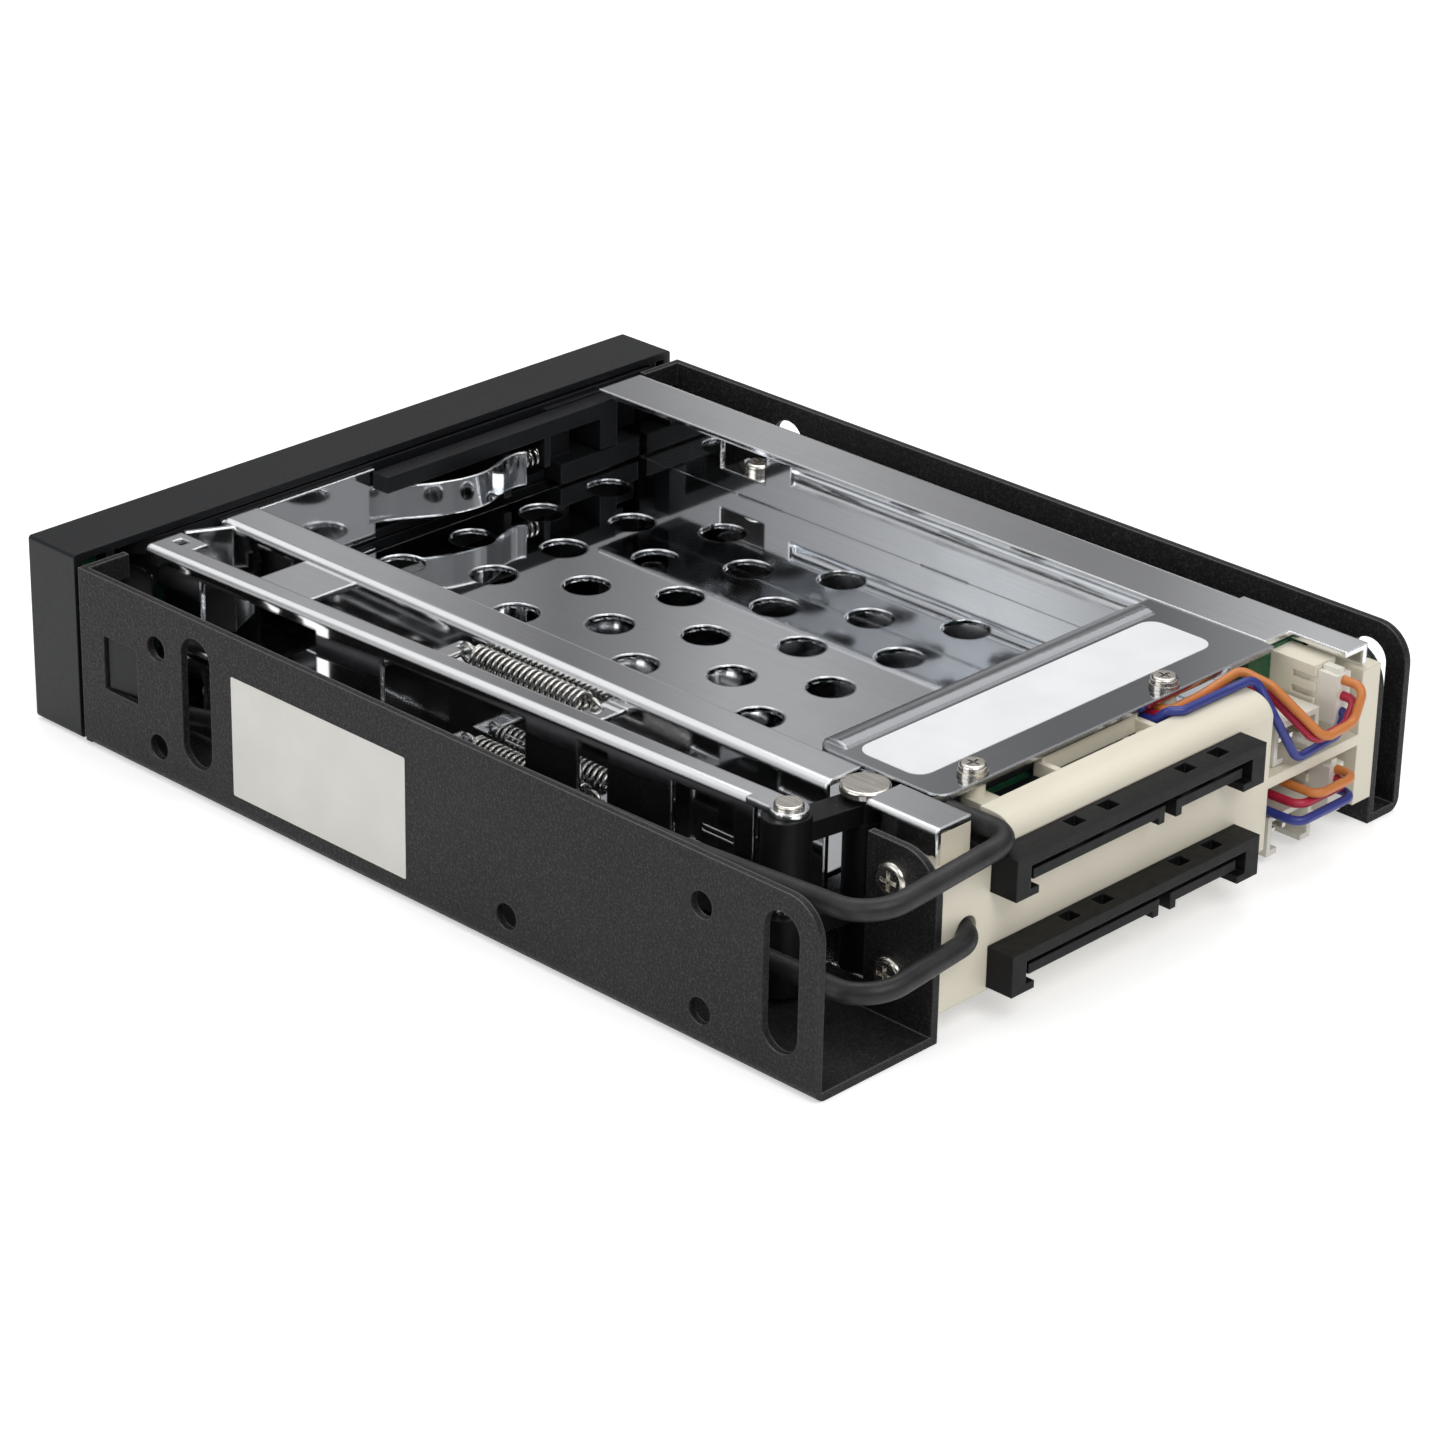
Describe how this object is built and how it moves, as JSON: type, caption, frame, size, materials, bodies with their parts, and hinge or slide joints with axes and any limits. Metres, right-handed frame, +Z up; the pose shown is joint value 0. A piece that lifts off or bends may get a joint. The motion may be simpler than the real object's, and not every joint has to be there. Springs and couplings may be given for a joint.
{
  "type": "hot swap drive cage",
  "caption": "Two-slot trayless hot swap cage for 2.5 inch drives that fits a 3.5 inch bay, with hinged doors that work push rods and ejector arms.",
  "frame": {"origin": "middle of the underside of the whole part", "axes": "+Y from the front doors to the rear connectors, +Z up, +X to the side with the ejector rods"},
  "size_m": [0.1016, 0.135, 0.0254],
  "materials": {
    "frame_paint": "black powder coat with a fine texture",
    "stainless": "bright rolled stainless sheet",
    "bezel_plastic": "satin black moulding",
    "ivory_plastic": "plain ivory moulding",
    "black_plastic": "matte black moulding",
    "nickel": "nickel plated screw steel",
    "spring_steel": "plain spring wire",
    "board_green": "green solder mask",
    "white_plastic": "white moulding",
    "gold": "plated contacts",
    "lamp_clear": "clear light guide",
    "wire_orange": "orange wire cover",
    "wire_red": "red wire cover",
    "wire_blue": "blue wire cover",
    "sleeve_black": "soft black sleeving"
  },
  "bodies": {
    "chassis": {"outer_frame": "frame_paint", "bay_cage": "stainless", "floor_rivets": "nickel", "divider_plate": "stainless", "rear_top_plate": "stainless", "end_cap": "stainless", "backplane_bracket": "ivory_plastic", "plate_lock_washers": "nickel", "plate_screws": "nickel", "tab_screws": "nickel", "shelf_screw": "nickel", "front_bezel": "bezel_plastic", "status_lamps": "lamp_clear", "lamp_board": "board_green", "hinge_pin": "nickel", "pivot_post": "nickel", "pivot_spacer_lower": "black_plastic", "pivot_spacer_middle": "black_plastic", "pivot_spacer_upper": "black_plastic", "backplane_board": "board_green", "return_spring_lower": "spring_steel", "host_connector_lower": "black_plastic", "host_contacts_lower": "gold", "drive_connector_lower": "black_plastic", "wire_header_lower": "ivory_plastic", "wire_plug_lower": "white_plastic", "wire_orange_lower": "wire_orange", "wire_red_lower": "wire_red", "wire_blue_lower": "wire_blue", "cable_sleeve_lower": "sleeve_black", "spare_header_lower": "white_plastic", "spare_header_pins_lower": "nickel", "return_spring_upper": "spring_steel", "host_connector_upper": "black_plastic", "host_contacts_upper": "gold", "drive_connector_upper": "black_plastic", "wire_header_upper": "ivory_plastic", "wire_plug_upper": "white_plastic", "wire_orange_upper": "wire_orange", "wire_red_upper": "wire_red", "wire_blue_upper": "wire_blue", "cable_sleeve_upper": "sleeve_black", "spare_header_upper": "white_plastic", "spare_header_pins_upper": "nickel"},
    "lower_door": {"door_panel_lower": "bezel_plastic", "door_plate_lower": "stainless", "latch_spring_lower": "spring_steel"},
    "lower_latch": {"door_latch_lower": "bezel_plastic"},
    "lower_rod": {"push_rod_lower": "stainless", "rod_rivet_lower": "nickel"},
    "lower_arm": {"ejector_arm_lower": "black_plastic"},
    "upper_door": {"door_panel_upper": "bezel_plastic", "door_plate_upper": "stainless", "latch_spring_upper": "spring_steel"},
    "upper_latch": {"door_latch_upper": "bezel_plastic"},
    "upper_rod": {"push_rod_upper": "stainless", "rod_rivet_upper": "nickel"},
    "upper_arm": {"ejector_arm_upper": "black_plastic"}
  },
  "joints": [
    {"name": "lower_door_hinge", "type": "hinge", "parent": "chassis", "child": "lower_door", "pos_m": [0.0364, -0.0629, 0.0069], "axis": [0, 0, 1], "range_deg": [0, 90]},
    {"name": "lower_latch_slide", "type": "slide", "parent": "lower_door", "child": "lower_latch", "axis": [1, 0, 0], "range_m": [0, 0.0025], "stiffness_N_per_m": 150, "springref_m": -0.001, "deforming": ["latch_spring_lower"]},
    {"name": "lower_rod_slide", "type": "slide", "parent": "chassis", "child": "lower_rod", "axis": [0, 1, 0], "range_m": [0, 0.00585], "deforming": ["return_spring_lower"]},
    {"name": "lower_arm_pivot", "type": "hinge", "parent": "chassis", "child": "lower_arm", "pos_m": [0.0266, 0.0478, 0.0106], "axis": [0, 0, 1], "range_deg": [0, 31]},
    {"name": "upper_door_hinge", "type": "hinge", "parent": "chassis", "child": "upper_door", "pos_m": [0.0364, -0.0629, 0.0178], "axis": [0, 0, 1], "range_deg": [0, 90]},
    {"name": "upper_latch_slide", "type": "slide", "parent": "upper_door", "child": "upper_latch", "axis": [1, 0, 0], "range_m": [0, 0.0025], "stiffness_N_per_m": 150, "springref_m": -0.001, "deforming": ["latch_spring_upper"]},
    {"name": "upper_rod_slide", "type": "slide", "parent": "chassis", "child": "upper_rod", "axis": [0, 1, 0], "range_m": [0, 0.00585], "deforming": ["return_spring_upper"]},
    {"name": "upper_arm_pivot", "type": "hinge", "parent": "chassis", "child": "upper_arm", "pos_m": [0.0266, 0.0478, 0.0222], "axis": [0, 0, 1], "range_deg": [0, 31]}
  ],
  "couplings": [
    {"joint": "lower_rod_slide", "follows": "lower_door_hinge", "m_per_rad": 0.0037225},
    {"joint": "lower_arm_pivot", "follows": "lower_door_hinge", "ratio": 0.34396},
    {"joint": "upper_rod_slide", "follows": "upper_door_hinge", "m_per_rad": 0.0037225},
    {"joint": "upper_arm_pivot", "follows": "upper_door_hinge", "ratio": 0.34396}
  ]
}
